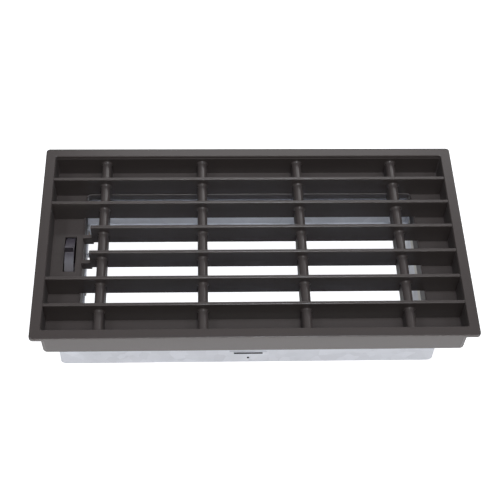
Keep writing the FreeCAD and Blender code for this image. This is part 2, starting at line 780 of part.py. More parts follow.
def export(name, shape):
    """Writes one piece and prints what it measures."""
    shape.exportStep("parts/" + name + ".step")
    print(name, "solids", len(shape.Solids), "valid", shape.isValid(), "volume", round(shape.Volume, 1))


def main():
    os.makedirs("parts", exist_ok=True)
    grille = make_grille()
    export("grille", grille)
    export("lattice", make_lattice(grille))
    export("front_plate", make_front_plate())
    export("back_plate", make_back_plate())
    export("left_end_plate", make_left_end_plate())
    export("right_end_plate", make_right_end_plate())
    export("bearing_plate", make_bearing_plate())
    export("bearing_strip_left", make_left_strip())
    export("bearing_strip_right", make_right_strip())
    export("thumbwheel", make_thumbwheel())
    export("wheel_axle", make_wheel_axle())
    export("drive_crank", make_drive_crank())
    export("axle_clip", make_axle_clip())
    export("friction_washer", make_friction_washer())
    export("axle_bushing", make_axle_bushing())
    export("link_bar", make_link_bar())
    for index in range(blade_count):
        number = str(index + 1)
        export("blade_" + number, make_blade(index))
        export("shaft_" + number, make_shaft(index))
        export("crank_" + number, make_crank(index))


main()
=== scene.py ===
import math

import bpy
from bpy.props import FloatProperty, FloatVectorProperty, IntProperty, PointerProperty
from mathutils import Matrix, Vector


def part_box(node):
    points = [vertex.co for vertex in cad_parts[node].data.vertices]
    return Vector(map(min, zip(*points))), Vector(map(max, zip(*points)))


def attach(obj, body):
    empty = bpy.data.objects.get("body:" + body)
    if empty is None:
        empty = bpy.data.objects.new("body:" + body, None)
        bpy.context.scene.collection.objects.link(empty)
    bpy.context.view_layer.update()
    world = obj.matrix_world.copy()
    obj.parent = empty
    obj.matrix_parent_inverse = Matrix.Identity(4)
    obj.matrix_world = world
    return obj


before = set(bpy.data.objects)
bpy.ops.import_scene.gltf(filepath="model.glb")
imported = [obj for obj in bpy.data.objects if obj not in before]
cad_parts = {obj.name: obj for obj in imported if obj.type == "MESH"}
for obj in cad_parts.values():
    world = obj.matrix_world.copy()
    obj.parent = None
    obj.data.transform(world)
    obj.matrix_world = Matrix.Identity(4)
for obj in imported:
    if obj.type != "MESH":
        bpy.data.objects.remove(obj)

bl_info = {
    "name": "Ceiling Grille",
    "version": (1, 0, 0),
    "blender": (4, 5, 0),
    "location": "3D View > Sidebar > Grille",
    "description": "Finishes, small details and stage of a ceiling grille with a thumbwheel damper",
    "category": "Object",
}

MM = 0.001

# CAD nodes that share a finish
STEEL_PLATES = ("front_plate", "back_plate", "left_end_plate", "right_end_plate", "bearing_plate", "link_bar")
NYLON_PARTS = ("drive_crank", "axle_bushing", "bearing_strip_left", "bearing_strip_right")

# Sockets by number, because a mix node and a map range node have several of the same name
MIX_FACTOR, MIX_DARK, MIX_LIGHT, MIX_RESULT = 0, 6, 7, 2
FROM_MIN, FROM_MAX, TO_MIN, TO_MAX = 1, 2, 3, 4

SMOOTH_ANGLE = math.radians(35)

# Coves: steps towards the slat, as shares of the cove's size, each with the share that the ring grows by.
# The last step ends past the slat's face. The ring grows sideways from the bar's middle and upwards from a
# level just above the floor.
COVE_STEPS = ((0.55, 0.22), (0.6, 0.78))
COVE_FLOOR_GAP = 0.05 * MM
COVE_SEGMENTS = 24

# Bead: steps across it from its outer edge to the opening, as shares of its width, each with its rise as a
# share of the bead's height
BEAD_STEPS = ((0.08, 0.55), (0.12, 0.3), (0.12, 0.12), (0.14, 0.03),
              (0.3, -0.12), (0.12, -0.26), (0.12, -0.62))
BEAD_MARGIN = 0.02 * MM
BEAD_SINK = 0.2 * MM
BEAD_CORNER_SEGMENTS = 6
BEAD_SMOOTH_ANGLE = math.radians(60)

# Clips behind the pressed pads
CLIP_GAP = 0.02 * MM
CLIP_ROUNDING = 0.12 * MM
CLIP_ROUNDING_SEGMENTS = 3
PIN_SEGMENTS = 24

# Stage: lengths in metres, except the sensor, which is in millimetres
WHITE = (1, 1, 1)
FLOOR_SIZE = 8
FLOOR_GREY = 0.8
FLOOR_GLOW = 0.9
LIGHT_AIM = (0, 0, 0.05)
SENSOR_WIDTH = 36
NEAR_CLIP = 0.01


def linear(code):
    """Linear colour of an sRGB hex value."""
    channels = []
    for start in (1, 3, 5):
        value = int(code[start:start + 2], 16) / 255
        channels.append(value / 12.92 if value <= 0.04045 else ((value + 0.055) / 1.055) ** 2.4)
    return tuple(channels)


def opaque(colour):
    """The colour with full alpha, as sockets want it."""
    return (colour[0], colour[1], colour[2], 1.0)


def shaded(colour, factor):
    """A lighter or darker tone of a colour."""
    return opaque([channel * factor for channel in colour])


def per_mm(size):
    """Pattern scale on Object coordinates for a feature of this size in millimetres."""
    return 1 / (size * MM)


def add_node(tree, kind, settings=None, links=None):
    """Adds a node. Settings are options or, by name or number, values of inputs, and links feed inputs."""
    node = tree.nodes.new(kind)
    for name, value in (settings or {}).items():
        if isinstance(name, str) and hasattr(node, name):
            setattr(node, name, value)
        else:
            node.inputs[name].default_value = value
    for name, socket in (links or {}).items():
        tree.links.new(socket, node.inputs[name])
    return node


def new_material(name):
    """An empty node material and its tree."""
    material = bpy.data.materials.new(name)
    material.use_nodes = True
    material.node_tree.nodes.clear()
    return material, material.node_tree


def finish_material(tree, shader):
    """Joins a shader to the material's output."""
    add_node(tree, "ShaderNodeOutputMaterial", {}, {"Surface": shader.outputs[0]})


def moulded_abs(name, colour, grain):
    """ABS from a spark-eroded mould: satin, with a fine even grain, and matt where the view grazes it."""
    flow_size = 45
    material, tree = new_material(name)
    place = add_node(tree, "ShaderNodeTexCoord").outputs["Object"]
    flow = add_node(tree, "ShaderNodeTexNoise", {"Scale": per_mm(flow_size), "Detail": 3.0},
                    {"Vector": place})
    fine = add_node(tree, "ShaderNodeTexNoise", {"Scale": per_mm(grain), "Detail": 2.0}, {"Vector": place})
    tone = add_node(tree, "ShaderNodeMix",
                    {"data_type": "RGBA", MIX_DARK: shaded(colour, 0.94), MIX_LIGHT: shaded(colour, 1.07)},
                    {MIX_FACTOR: flow.outputs[0]})
    speck = add_node(tree, "ShaderNodeMapRange", {FROM_MIN: 0.35, FROM_MAX: 0.7, TO_MIN: 0.98, TO_MAX: 1.02},
                     {"Value": fine.outputs[0]})
    base = add_node(tree, "ShaderNodeVectorMath", {"operation": "SCALE"},
                    {0: tone.outputs[MIX_RESULT], "Scale": speck.outputs[0]})
    gloss = add_node(tree, "ShaderNodeMapRange", {FROM_MIN: 0.3, FROM_MAX: 0.7, TO_MIN: 0.2, TO_MAX: 0.25},
                     {"Value": fine.outputs[0]})
    view = add_node(tree, "ShaderNodeLayerWeight", {"Blend": 0.5})
    graze = add_node(tree, "ShaderNodeMapRange", {FROM_MIN: 0.5, FROM_MAX: 0.85, TO_MIN: 0.0, TO_MAX: 0.45},
                     {"Value": view.outputs["Facing"]})
    rough = add_node(tree, "ShaderNodeMath", {"operation": "ADD"}, {0: gloss.outputs[0], 1: graze.outputs[0]})
    bump = add_node(tree, "ShaderNodeBump", {"Strength": 0.07, "Distance": 0.05 * MM},
                    {"Height": fine.outputs[0]})
    shader = add_node(tree, "ShaderNodeBsdfPrincipled", {"IOR": 1.53, "Specular IOR Level": 0.55},
                      {"Base Color": base.outputs[0], "Roughness": rough.outputs[0],
                       "Normal": bump.outputs[0]})
    finish_material(tree, shader)
    return material


def galvanised_sheet(name, colour, spangle):
    """Hot-dip galvanised sheet: soft zinc crystals and faint rolling lines along the strip.

    A thin matt film covers the zinc, so only a little of it shines as metal.
    """
    wander_size, cloud_size = 12, 32
    wander_reach = 7 * MM
    crystal_share = 0.45
    # Lines drawn coarser than real ones, which are too fine to show
    line_length, line_width = 60, 0.9
    material, tree = new_material(name)
    place = add_node(tree, "ShaderNodeTexCoord").outputs["Object"]
    wander = add_node(tree, "ShaderNodeTexNoise", {"Scale": per_mm(wander_size), "Detail": 2.0},
                      {"Vector": place})
    drift = add_node(tree, "ShaderNodeVectorMath", {"operation": "SCALE", "Scale": wander_reach},
                     {0: wander.outputs[1]})
    moved = add_node(tree, "ShaderNodeVectorMath", {"operation": "ADD"}, {0: place, 1: drift.outputs[0]})
    crystal = add_node(tree, "ShaderNodeTexVoronoi", {"Scale": per_mm(spangle), "Randomness": 1.0},
                       {"Vector": moved.outputs[0]})
    grey = add_node(tree, "ShaderNodeSeparateColor", {}, {0: crystal.outputs["Color"]})
    cloud = add_node(tree, "ShaderNodeTexNoise", {"Scale": per_mm(cloud_size), "Detail": 3.0},
                     {"Vector": place})
    both = add_node(tree, "ShaderNodeMath", {"operation": "MULTIPLY_ADD", 1: crystal_share},
                    {0: grey.outputs[0], 2: cloud.outputs[0]})
    level = add_node(tree, "ShaderNodeMapRange", {FROM_MIN: 0.4, FROM_MAX: 1.05},
                     {"Value": both.outputs[0]})
    base = add_node(tree, "ShaderNodeMix",
                    {"data_type": "RGBA", MIX_DARK: shaded(colour, 0.9), MIX_LIGHT: shaded(colour, 1.08)},
                    {MIX_FACTOR: level.outputs[0]})
    strip = add_node(tree, "ShaderNodeMapping",
                     {"Scale": (per_mm(line_length), per_mm(line_width), per_mm(line_width))}, {0: place})
    rolled = add_node(tree, "ShaderNodeTexNoise", {"Scale": 1.0, "Detail": 2.0}, {"Vector": strip.outputs[0]})
    gloss = add_node(tree, "ShaderNodeMapRange", {FROM_MIN: 0.2, FROM_MAX: 0.8, TO_MIN: 0.36, TO_MAX: 0.52},
                     {"Value": grey.outputs[1]})
    bump = add_node(tree, "ShaderNodeBump", {"Strength": 0.2, "Distance": 0.02 * MM},
                    {"Height": rolled.outputs[0]})
    shader = add_node(tree, "ShaderNodeBsdfPrincipled", {"Metallic": 0.08},
                      {"Base Color": base.outputs[MIX_RESULT], "Roughness": gloss.outputs[0],
                       "Normal": bump.outputs[0]})
    finish_material(tree, shader)
    return material


def black_nylon(name, colour, roughness, specular):
    """Black moulded nylon: polished by fingers on the wheel, matt on the clips, where its near-black is
    painted shade in the slots.
    """
    # Grain drawn coarser than the real one, which is too fine to show
    smear_size, grain_size = 6, 0.7
    material, tree = new_material(name)
    place = add_node(tree, "ShaderNodeTexCoord").outputs["Object"]
    smear = add_node(tree, "ShaderNodeTexNoise", {"Scale": per_mm(smear_size), "Detail": 3.0},
                     {"Vector": place})
    grain = add_node(tree, "ShaderNodeTexNoise", {"Scale": per_mm(grain_size), "Detail": 1.0},
                     {"Vector": place})
    base = add_node(tree, "ShaderNodeMix",
                    {"data_type": "RGBA", MIX_DARK: shaded(colour, 0.85), MIX_LIGHT: shaded(colour, 1.15)},
                    {MIX_FACTOR: smear.outputs[0]})
    gloss = add_node(tree, "ShaderNodeMapRange",
                     {FROM_MIN: 0.3, FROM_MAX: 0.7, TO_MIN: roughness - 0.05, TO_MAX: roughness + 0.05},
                     {"Value": smear.outputs[0]})
    bump = add_node(tree, "ShaderNodeBump", {"Strength": 0.2, "Distance": 0.04 * MM},
                    {"Height": grain.outputs[0]})
    shader = add_node(tree, "ShaderNodeBsdfPrincipled", {"IOR": 1.53, "Specular IOR Level": specular},
                      {"Base Color": base.outputs[MIX_RESULT], "Roughness": gloss.outputs[0],
                       "Normal": bump.outputs[0]})
    finish_material(tree, shader)
    return material


def natural_nylon(name, colour):
    """Unfilled nylon: milky, slightly waxy and a little light carrying."""
    cloud_size = 4
    material, tree = new_material(name)
    place = add_node(tree, "ShaderNodeTexCoord").outputs["Object"]
    cloud = add_node(tree, "ShaderNodeTexNoise", {"Scale": per_mm(cloud_size), "Detail": 3.0},
                     {"Vector": place})
    base = add_node(tree, "ShaderNodeMix",
                    {"data_type": "RGBA", MIX_DARK: shaded(colour, 0.9), MIX_LIGHT: shaded(colour, 1.05)},
                    {MIX_FACTOR: cloud.outputs[0]})
    gloss = add_node(tree, "ShaderNodeMapRange", {FROM_MIN: 0.3, FROM_MAX: 0.7, TO_MIN: 0.34, TO_MAX: 0.48},
                     {"Value": cloud.outputs[0]})
    shader = add_node(tree, "ShaderNodeBsdfPrincipled",
                      {"IOR": 1.53, "Subsurface Weight": 0.1, "Subsurface Scale": 1.5 * MM},
                      {"Base Color": base.outputs[MIX_RESULT], "Roughness": gloss.outputs[0]})
    finish_material(tree, shader)
    return material


def drawn_steel(name, colour, roughness, line_width):
    """Cold-drawn or rolled steel with fine lines along its length, bright where they thin out."""
    # Lines drawn coarser than real ones, which are too fine to show
    line_length, stain_size = 25, 9
    material, tree = new_material(name)
    place = add_node(tree, "ShaderNodeTexCoord").outputs["Object"]
    along = add_node(tree, "ShaderNodeMapping",
                     {"Scale": (per_mm(line_length), per_mm(line_width), per_mm(line_width))}, {0: place})
    lines = add_node(tree, "ShaderNodeTexNoise", {"Scale": 1.0, "Detail": 2.0}, {"Vector": along.outputs[0]})
    stain = add_node(tree, "ShaderNodeTexNoise", {"Scale": per_mm(stain_size), "Detail": 4.0},
                     {"Vector": place})
    base = add_node(tree, "ShaderNodeMix",
                    {"data_type": "RGBA", MIX_DARK: shaded(colour, 0.78), MIX_LIGHT: shaded(colour, 1.12)},
                    {MIX_FACTOR: stain.outputs[0]})
    gloss = add_node(tree, "ShaderNodeMapRange",
                     {FROM_MIN: 0.3, FROM_MAX: 0.7, TO_MIN: roughness - 0.06, TO_MAX: roughness + 0.08},
                     {"Value": lines.outputs[0]})
    bump = add_node(tree, "ShaderNodeBump", {"Strength": 0.15, "Distance": 0.02 * MM},
                    {"Height": lines.outputs[0]})
    shader = add_node(tree, "ShaderNodeBsdfPrincipled", {"Metallic": 1.0},
                      {"Base Color": base.outputs[MIX_RESULT], "Roughness": gloss.outputs[0],
                       "Normal": bump.outputs[0]})
    finish_material(tree, shader)
    return material


def pressed_felt(name, colour):
    """Grey wool felt: matted fibres with no direction and a soft, dusty edge."""
    # Drawn coarser than real fibres, which are too fine to show
    fibre_size = 0.5
    material, tree = new_material(name)
    place = add_node(tree, "ShaderNodeTexCoord").outputs["Object"]
    fibre = add_node(tree, "ShaderNodeTexNoise",
                     {"Scale": per_mm(fibre_size), "Detail": 5.0, "Roughness": 0.8}, {"Vector": place})
    base = add_node(tree, "ShaderNodeMix",
                    {"data_type": "RGBA", MIX_DARK: shaded(colour, 0.7), MIX_LIGHT: shaded(colour, 1.3)},
                    {MIX_FACTOR: fibre.outputs[0]})
    bump = add_node(tree, "ShaderNodeBump", {"Strength": 0.6, "Distance": 0.1 * MM},
                    {"Height": fibre.outputs[0]})
    shader = add_node(tree, "ShaderNodeBsdfPrincipled", {"Roughness": 0.95, "Sheen Weight": 0.3},
                      {"Base Color": base.outputs[MIX_RESULT], "Normal": bump.outputs[0]})
    finish_material(tree, shader)
    return material


def dress(names, material):
    """Gives CAD nodes one material."""
    for name in names:
        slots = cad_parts[name].data.materials
        slots.clear()
        slots.append(material)


def numbered(stem):
    """The CAD nodes whose names are this stem with a number."""
    return [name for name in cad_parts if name.startswith(stem + "_") and name[-1].isdigit()]


def start_fresh():
    """Nothing selected, in object mode."""
    if bpy.context.mode != "OBJECT":
        bpy.ops.object.mode_set(mode="OBJECT")
    bpy.ops.object.select_all(action="DESELECT")


def take(pieces):
    """Only these pieces selected, the first one active."""
    start_fresh()
    for piece in pieces:
        piece.select_set(True)
    bpy.context.view_layer.objects.active = pieces[0]


def joined(pieces):
    """The pieces as one object."""
    take(pieces)
    bpy.ops.object.join()
    return bpy.context.object


def copied(piece, place, turn):
    """A copy with its own mesh, turned about the vertical and then moved."""
    copy = piece.copy()
    copy.data = piece.data.copy()
    bpy.context.collection.objects.link(copy)
    copy.matrix_world = Matrix.Translation(place) @ Matrix.Rotation(turn, 4, "Z")
    return copy


def settle(piece, name, material, body):
    """Puts the piece's place into its mesh and gives it its name, material and body."""
    take([piece])
    bpy.ops.object.transform_apply(location=True, rotation=True, scale=True)
    piece.name = name
    piece.data.materials.clear()
    piece.data.materials.append(material)
    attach(piece, body)


def slat_middles(lattice, pocket):
    """Where the slats stand from front to back, in a pocket of this half depth between the rims."""
    pitch = (2 * pocket + lattice.slat_thickness) / (lattice.slat_count + 1)
    return [(number - (lattice.slat_count - 1) / 2) * pitch for number in range(lattice.slat_count)]


class GrilleFinishes(bpy.types.PropertyGroup):
    moulding_colour: FloatVectorProperty(
        name="Moulding", description="Colour of the moulded face", subtype="COLOR", size=3, min=0, max=1,
        default=linear("#534c4a"))
    steel_colour: FloatVectorProperty(
        name="Galvanised Steel", description="Colour of the damper box and blades", subtype="COLOR", size=3,
        min=0, max=1, default=linear("#dadce3"))
    wheel_colour: FloatVectorProperty(
        name="Thumbwheel", description="Colour of the thumbwheel", subtype="COLOR", size=3, min=0, max=1,
        default=linear("#4e4850"))
    nylon_colour: FloatVectorProperty(
        name="Nylon", description="Colour of cranks and bushings", subtype="COLOR", size=3, min=0, max=1,
        default=linear("#d8d4c6"))
    shaft_colour: FloatVectorProperty(
        name="Shafts", description="Colour of shafts and axle", subtype="COLOR", size=3, min=0, max=1,
        default=linear("#b9babd"))
    spring_colour: FloatVectorProperty(
        name="Spring Steel", description="Colour of the axle's clip", subtype="COLOR", size=3, min=0, max=1,
        default=linear("#70737a"))
    # Clips: near-black, as painted shade that makes the slots in the long plates read dark
    slot_shade_colour: FloatVectorProperty(
        name="Pad Clips", description="Colour of the clips behind the pressed pads", subtype="COLOR", size=3,
        min=0, max=1, default=linear("#0f0f14"))
    felt_colour: FloatVectorProperty(
        name="Felt", description="Colour of the friction washer", subtype="COLOR", size=3, min=0, max=1,
        default=linear("#7b7a74"))
    grain_size: FloatProperty(
        name="Grain", description="Grain of the moulding in millimetres, drawn coarser than the real 0.3",
        default=0.9, min=0.1, max=5)
    spangle_size: FloatProperty(
        name="Spangle", description="Size of the zinc crystals in millimetres", default=6.5, min=1, max=40)


class GrilleLattice(bpy.types.PropertyGroup):
    rim_width: FloatProperty(
        name="Rim Width", description="Width of the face's rim", default=6.8 * MM, unit="LENGTH", min=1 * MM)
    ledge_width: FloatProperty(
        name="Ledge Width", description="Width of the ledge inside the rim", default=0.5 * MM, unit="LENGTH",
        min=0)
    slat_count: IntProperty(name="Slats", description="Number of slats", default=6, min=1, max=20)
    slat_thickness: FloatProperty(
        name="Slat Thickness", description="Thickness of a slat", default=2.4 * MM, unit="LENGTH", min=1 * MM)
    bar_count: IntProperty(name="Cross Bars", description="Number of cross bars", default=4, min=2, max=20)
    bar_spacing: FloatProperty(
        name="Bar Spacing", description="Distance between cross bars", default=65.93 * MM, unit="LENGTH",
        min=10 * MM)
    bar_width: FloatProperty(
        name="Bar Width", description="Width of a cross bar", default=6.3 * MM, unit="LENGTH", min=1 * MM)
    bar_depth: FloatProperty(
        name="Bar Depth", description="Depth of a cross bar's crest below the face", default=5.5 * MM,
        unit="LENGTH", min=0)
    floor_depth: FloatProperty(
        name="Floor Depth", description="Depth of the floor below the face", default=17.4 * MM, unit="LENGTH",
        min=1 * MM)
    opening_gap: FloatProperty(
        name="Opening Gap", description="From the end of the face to the air opening", default=28.3 * MM,
        unit="LENGTH", min=1 * MM)
    lip_width: FloatProperty(
        name="Lip Width", description="Width of the lip round the air opening", default=1 * MM, unit="LENGTH",
        min=0.2 * MM)
    lip_height: FloatProperty(
        name="Lip Height", description="Height of the lip above the floor", default=0.8 * MM, unit="LENGTH",
        min=0)
    lip_radius: FloatProperty(
        name="Lip Radius", description="Radius of the lip's corners", default=4 * MM, unit="LENGTH",
        min=1 * MM)
    bead_height: FloatProperty(
        name="Bead Height", description="Height of the bead on the lip", default=0.9 * MM, unit="LENGTH",
        min=0.05 * MM)
    cove_size: FloatProperty(
        name="Cove", description="Size of the cove where a bar meets a slat", default=1.1 * MM, unit="LENGTH",
        min=0.2 * MM, max=2.5 * MM)


class GrilleClips(bpy.types.PropertyGroup):
    pad_proud: FloatProperty(
        name="Pad Proud", description="How far the pressed pad stands out", default=0.35 * MM, unit="LENGTH",
        min=0)
    plate_length: FloatProperty(
        name="Plate Length", description="Length of the clip's plate", default=22.8 * MM, unit="LENGTH",
        min=2 * MM)
    plate_height: FloatProperty(
        name="Plate Height", description="Height of the clip's plate", default=9 * MM, unit="LENGTH",
        min=2 * MM)
    plate_level: FloatProperty(
        name="Plate Level", description="Height of the plate's middle above the box's lower edge",
        default=8.7 * MM, unit="LENGTH", min=0)
    plate_thickness: FloatProperty(
        name="Plate Thickness", description="Thickness of the clip's plate", default=0.5 * MM, unit="LENGTH",
        min=0.2 * MM)
    tab_length: FloatProperty(
        name="Tab Length", description="Length of the tab in the slot", default=19.2 * MM, unit="LENGTH",
        min=1 * MM)
    tab_height: FloatProperty(
        name="Tab Height", description="Height of the tab in the slot", default=1.1 * MM, unit="LENGTH",
        min=0.2 * MM)
    tab_level: FloatProperty(
        name="Tab Level", description="Height of the slot's middle above the box's lower edge",
        default=11.8 * MM, unit="LENGTH", min=0)
    pin_radius: FloatProperty(
        name="Pin Radius", description="Radius of the pin in the pilot hole", default=0.75 * MM,
        unit="LENGTH", min=0.2 * MM)
    pin_level: FloatProperty(
        name="Pin Level", description="Height of the pilot hole above the box's lower edge", default=6.1 * MM,
        unit="LENGTH", min=0)
    reach: FloatProperty(
        name="Reach", description="How far tab and pin stand out from the plate", default=1.05 * MM,
        unit="LENGTH", min=0.1 * MM)


class GrilleStage(bpy.types.PropertyGroup):
    lens: FloatProperty(
        name="Lens", description="Focal length on a 36 mm sensor", default=83.167, subtype="DISTANCE_CAMERA",
        min=20, max=300)
    camera_place: FloatVectorProperty(
        name="Camera Place", description="Where the camera stands", subtype="TRANSLATION", unit="LENGTH",
        size=3, default=(-34.53 * MM, -458.26 * MM, 675.30 * MM))
    camera_yaw: FloatProperty(
        name="Yaw", description="Turn of the view about the vertical", default=math.radians(-4.135),
        subtype="ANGLE")
    camera_elevation: FloatProperty(
        name="Elevation", description="Angle of the view above the horizon", default=math.radians(53.422),
        subtype="ANGLE")
    camera_roll: FloatProperty(
        name="Roll", description="Tilt of the picture", default=math.radians(2.985), subtype="ANGLE")
    front_power: FloatProperty(
        name="Front Light", description="Power of the low front light in watts", default=9.8, min=0)
    top_power: FloatProperty(
        name="Top Light", description="Power of the overhead light in watts", default=6.0, min=0)
    face_power: FloatProperty(
        name="Face Light", description="Power of the light beside the camera in watts", default=5.0, min=0)
    back_power: FloatProperty(
        name="Back Light", description="Power of the light behind in watts", default=2.9, min=0)
    corner_power: FloatProperty(
        name="Corner Light", description="Power of the light behind on the right in watts", default=2.4,
        min=0)
    left_power: FloatProperty(
        name="Left Light", description="Power of the light on the left in watts", default=3.6, min=0)
    right_power: FloatProperty(
        name="Right Light", description="Power of the light on the right in watts", default=2.6, min=0)
    cool_tint: FloatVectorProperty(
        name="Cool Tint", description="Colour of the small high lights", subtype="COLOR", size=3, min=0,
        max=1, default=(0.86, 0.92, 1.0))
    fill: FloatProperty(name="Fill", description="Strength of the light from all round", default=0.12, min=0)


class GRILLE_OT_finish_moulding(bpy.types.Operator):
    """Gives the face its grained plastic"""
    bl_idname = "grille.finish_moulding"
    bl_label = "Finish Moulding"

    def execute(self, context):
        finishes = context.scene.grille_finishes
        plastic = moulded_abs("moulded_abs", finishes.moulding_colour, finishes.grain_size)
        dress(["grille", "lattice"], plastic)
        return {"FINISHED"}


class GRILLE_OT_bar_joints(bpy.types.Operator):
    """Adds the coves of the moulding where the round tops of its cross bars meet the slats and the walls"""
    bl_idname = "grille.bar_joints"
    bl_label = "Bar Joints"

    def execute(self, context):
        lattice = context.scene.grille_lattice
        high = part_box("grille")[1]
        cove = self.model_cove(lattice, high.z)
        pocket = high.y - lattice.rim_width
        wall = pocket - lattice.ledge_width
        half_slat = lattice.slat_thickness / 2
        # Where each face stands that a bar meets, and the turn that points a cove towards it
        faces = [(-wall, math.pi), (wall, 0)]
        for middle in slat_middles(lattice, pocket):
            faces += [(middle - half_slat, 0), (middle + half_slat, math.pi)]
        coves = []
        for bar in range(lattice.bar_count):
            x = (bar - (lattice.bar_count - 1) / 2) * lattice.bar_spacing
            for y, turn in faces:
                coves.append(copied(cove, (x, y, 0), turn))
        bpy.data.objects.remove(cove)
        settle(joined(coves), "bar_joint_coves", bpy.data.materials["moulded_abs"], "frame")
        return {"FINISHED"}

    def model_cove(self, lattice, face):
        """One cove: a ring round the bar's rounded top, drawn out past a face at y 0 in two widening steps.

        Both of its ends are open.
        """
        floor = face - lattice.floor_depth + COVE_FLOOR_GAP
        crest = face - lattice.bar_depth
        half = lattice.bar_width / 2
        size = lattice.cove_size
        start_fresh()
        bpy.ops.mesh.primitive_circle_add(
            vertices=COVE_SEGMENTS, radius=half, location=(0, -size, crest - half),
            rotation=(math.pi / 2, 0, 0))
        cove = bpy.context.object
        bpy.ops.object.transform_apply(location=True, rotation=True, scale=True)
        bpy.ops.object.mode_set(mode="EDIT")
        bpy.ops.mesh.select_all(action="SELECT")
        for step, growth in COVE_STEPS:
            bpy.ops.mesh.extrude_region_move(TRANSFORM_OT_translate={"value": (0, size * step, 0)})
            wider = (half + size * growth) / half
            taller = (crest - floor + size * growth) / (crest - floor)
            bpy.ops.transform.resize(value=(wider, 1, taller), center_override=(0, 0, floor))
        bpy.ops.mesh.select_all(action="SELECT")
        bpy.ops.mesh.normals_make_consistent(inside=False)
        bpy.ops.object.mode_set(mode="OBJECT")
        bpy.ops.object.shade_smooth_by_angle(angle=SMOOTH_ANGLE)
        return cove


class GRILLE_OT_lip_bead(bpy.types.Operator):
    """Adds the rounded bead along the lip of the air opening"""
    bl_idname = "grille.lip_bead"
    bl_label = "Lip Bead"

    def execute(self, context):
        lattice = context.scene.grille_lattice
        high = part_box("grille")[1]
        last_slat = slat_middles(lattice, high.y - lattice.rim_width)[-1]
        reach_x = high.x - lattice.opening_gap + lattice.lip_width
        reach_y = last_slat - lattice.slat_thickness / 2
        level = high.z - lattice.floor_depth + lattice.lip_height - BEAD_SINK
        start_fresh()
        # A plane that reaches 1 to each side, so that its scale is the bead's reach
        bpy.ops.mesh.primitive_plane_add(size=2, location=(0, 0, level))
        bead = context.object
        bead.scale = (reach_x - BEAD_MARGIN, reach_y - BEAD_MARGIN, 1)
        bpy.ops.object.transform_apply(location=True, rotation=True, scale=True)
        bpy.ops.object.mode_set(mode="EDIT")
        bpy.ops.mesh.select_all(action="SELECT")
        bpy.ops.mesh.bevel(offset=lattice.lip_radius - BEAD_MARGIN, segments=BEAD_CORNER_SEGMENTS,
                           affect="VERTICES")
        width = lattice.lip_width - 2 * BEAD_MARGIN
        for share, rise in BEAD_STEPS:
            bpy.ops.mesh.inset(thickness=width * share, depth=lattice.bead_height * rise)
        bpy.ops.mesh.delete(type="FACE")
        bpy.ops.mesh.select_non_manifold()
        bpy.ops.mesh.bridge_edge_loops()
        bpy.ops.mesh.select_all(action="SELECT")
        bpy.ops.mesh.normals_make_consistent(inside=False)
        bpy.ops.object.mode_set(mode="OBJECT")
        bpy.ops.object.shade_smooth_by_angle(angle=BEAD_SMOOTH_ANGLE)
        settle(bead, "lip_bead", bpy.data.materials["moulded_abs"], "frame")
        return {"FINISHED"}


class GRILLE_OT_finish_damper(bpy.types.Operator):
    """Gives the damper box, its blades and their bearings their metal and nylon finishes"""
    bl_idname = "grille.finish_damper"
    bl_label = "Finish Damper"

    def execute(self, context):
        finishes = context.scene.grille_finishes
        sheet = galvanised_sheet("galvanised_sheet", finishes.steel_colour, finishes.spangle_size)
        dress(list(STEEL_PLATES) + numbered("blade"), sheet)
        nylon = natural_nylon("natural_nylon", finishes.nylon_colour)
        dress(list(NYLON_PARTS) + numbered("crank"), nylon)
        bar = drawn_steel("zinc_plated_bar", finishes.shaft_colour, roughness=0.3, line_width=0.6)
        dress(["wheel_axle"] + numbered("shaft"), bar)
        spring = drawn_steel("oiled_spring_steel", finishes.spring_colour, roughness=0.36, line_width=0.8)
        dress(["axle_clip"], spring)
        dress(["friction_washer"], pressed_felt("pressed_felt", finishes.felt_colour))
        return {"FINISHED"}


class GRILLE_OT_finish_wheel(bpy.types.Operator):
    """Gives the thumbwheel its black nylon"""
    bl_idname = "grille.finish_wheel"
    bl_label = "Finish Thumbwheel"

    def execute(self, context):
        finishes = context.scene.grille_finishes
        polished = black_nylon("glossy_nylon", finishes.wheel_colour, roughness=0.42, specular=0.85)
        dress(["thumbwheel"], polished)
        return {"FINISHED"}


